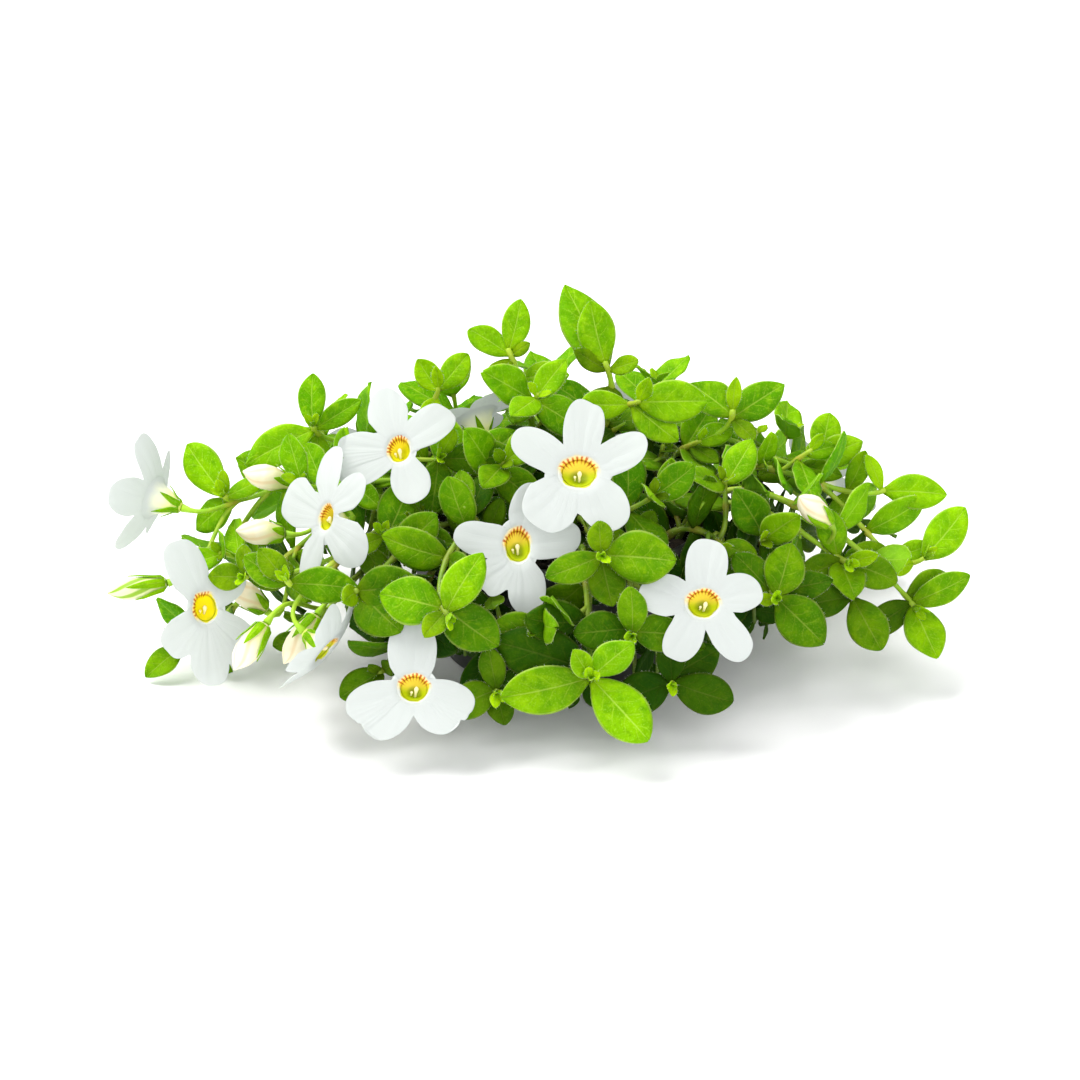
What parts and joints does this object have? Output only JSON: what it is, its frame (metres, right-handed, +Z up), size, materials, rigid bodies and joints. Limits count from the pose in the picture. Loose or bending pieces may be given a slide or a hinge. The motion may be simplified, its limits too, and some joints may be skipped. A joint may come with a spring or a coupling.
{
  "type": "potted flowering plant",
  "caption": "Low spreading potted plant with trailing leafy shoots, small open white flowers and cream buds over a plain round pot with a flat base.",
  "frame": {"origin": "centre of the pot's flat underside, on the surface that the pot stands on", "axes": "+Z up out of the pot, +X to the right of the plant seen from its front, and the front looks along -Y"},
  "size_m": [0.1533, 0.1092, 0.064],
  "materials": {
    "pot": "matt dark plastic",
    "soil": "loose dark potting compost",
    "foliage": "fresh yellow-green leaf with fine pale hairs",
    "petal": "soft white petal with faint veins",
    "throat": "yellow-green cup with orange-brown streaks",
    "bud": "smooth cream bud"
  },
  "bodies": {
    "root": {"pot": "pot", "soil": "soil", "stem_01": "foliage", "stem_02": "foliage", "stem_03": "foliage", "stem_04": "foliage", "stem_05": "foliage", "stem_06": "foliage", "stem_07": "foliage", "stem_08": "foliage", "stem_09": "foliage", "stem_10": "foliage", "stem_11": "foliage", "stem_12": "foliage", "stem_13": "foliage", "stem_14": "foliage", "stem_15": "foliage", "stem_16": "foliage", "stem_17": "foliage", "stem_18": "foliage", "stem_19": "foliage", "stem_20": "foliage", "stem_21": "foliage", "stem_22": "foliage", "stem_23": "foliage", "stem_24": "foliage", "stem_25": "foliage", "bloom_01": "petal", "bloom_02": "petal", "bloom_03": "petal", "bloom_04": "petal", "bloom_05": "petal", "bloom_06": "petal", "bloom_07": "petal", "bloom_08": "petal", "bloom_09": "petal", "bloom_10": "petal", "bloom_11": "petal", "bloom_12": "petal", "bloom_13": "petal", "throat_01": "throat", "throat_02": "throat", "throat_03": "throat", "throat_04": "throat", "throat_05": "throat", "throat_06": "throat", "throat_07": "throat", "throat_08": "throat", "throat_09": "throat", "throat_10": "throat", "throat_11": "throat", "throat_12": "throat", "throat_13": "throat", "bud_01": "bud", "bud_02": "bud", "bud_03": "bud", "bud_04": "bud", "bud_05": "bud", "bud_06": "bud", "bud_07": "bud"}
  },
  "joints": []
}
